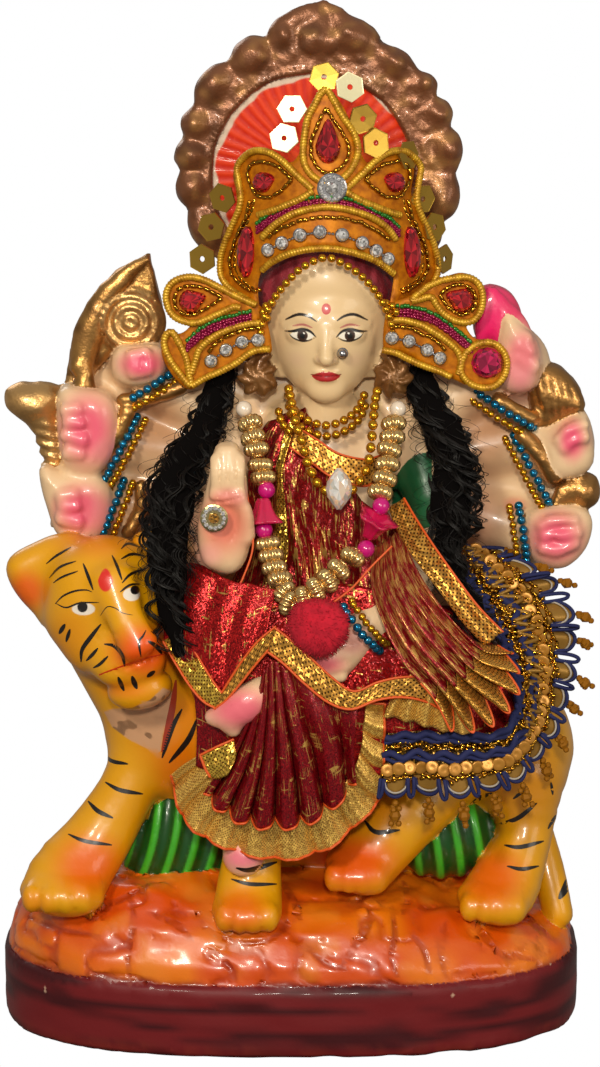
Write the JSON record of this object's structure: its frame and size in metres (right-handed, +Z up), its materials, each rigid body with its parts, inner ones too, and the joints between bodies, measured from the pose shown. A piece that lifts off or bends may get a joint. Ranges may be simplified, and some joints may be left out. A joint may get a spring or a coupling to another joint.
{
  "type": "durga figure",
  "caption": "Dressed plaster figure of a many-armed goddess seated on a tiger, with halo, crown, cloth and beads, on a rounded plinth.",
  "frame": {"origin": "centre of the plinth's flat underside", "axes": "+Z up, the front faces -Y, +X to the viewer's right"},
  "size_m": [0.1809, 0.1134, 0.305],
  "materials": {
    "painted_plaster": "cast plaster, painted in bright colours and gloss varnished",
    "crimson_cloth": "crimson foil cloth with a gold tinsel print",
    "gold_mesh": "gold metallic mesh ribbon with an orange edge",
    "lace": "gold and navy lace trim",
    "black_hair": "black curled synthetic hair",
    "satin_card": "orange satin over card, edged with wound gold cord",
    "red_stone": "foil backed, faceted",
    "pink_stone": "foil backed, faceted",
    "clear_stone": "foil backed, faceted",
    "gold_sequin": "metallised, shiny",
    "gold_bead": "metallised, shiny",
    "blue_bead": "metallised, shiny",
    "silver_stud": "metallised, shiny",
    "red_wool": "wool pile"
  },
  "bodies": {
    "root": {"plaster_casting": "painted_plaster", "torso_sari": "crimson_cloth", "lap_cloth": "crimson_cloth", "hip_drape": "crimson_cloth", "skirt_fan": "crimson_cloth", "lace_flounce": "lace", "waistband": "gold_mesh", "pallu": "crimson_cloth", "neck_border": "gold_mesh", "hair_left": "black_hair", "hair_right": "black_hair", "crown_front": "satin_card", "crown_wing_left": "satin_card", "crown_wing_right": "satin_card", "crown_drop_stone": "red_stone", "crown_round_stone": "clear_stone", "lobe_stone_left": "red_stone", "lobe_stone_right": "red_stone", "flap_stone_left": "red_stone", "flap_stone_right": "red_stone", "wing_stone_left": "red_stone", "wing_stone_right": "red_stone", "wing_end_stone": "pink_stone", "sequin_01": "gold_sequin", "sequin_02": "gold_sequin", "sequin_03": "gold_sequin", "sequin_04": "gold_sequin", "sequin_05": "gold_sequin", "sequin_06": "gold_sequin", "sequin_07": "gold_sequin", "sequin_08": "gold_sequin", "sequin_09": "gold_sequin", "sequin_10": "gold_sequin", "sequin_11": "gold_sequin", "sequin_12": "gold_sequin", "sequin_13": "gold_sequin", "face_bead_string": "gold_bead", "choker": "gold_bead", "necklace": "gold_bead", "pendant": "clear_stone", "garland": "gold_bead", "bangle_blue_left_1": "blue_bead", "bangle_gold_left_1": "gold_bead", "bangle_blue_left_2": "blue_bead", "bangle_gold_left_2": "gold_bead", "bangle_blue_left_3": "blue_bead", "bangle_gold_left_3": "gold_bead", "bangle_blue_right_1": "blue_bead", "bangle_gold_right_1": "gold_bead", "bangle_blue_right_2": "blue_bead", "bangle_gold_right_2": "gold_bead", "bangle_blue_right_3": "blue_bead", "bangle_gold_right_3": "gold_bead", "bangle_blue_front": "blue_bead", "bangle_gold_front": "gold_bead", "palm_stones": "clear_stone", "nose_stud": "silver_stud", "pompom": "red_wool"}
  },
  "joints": []
}
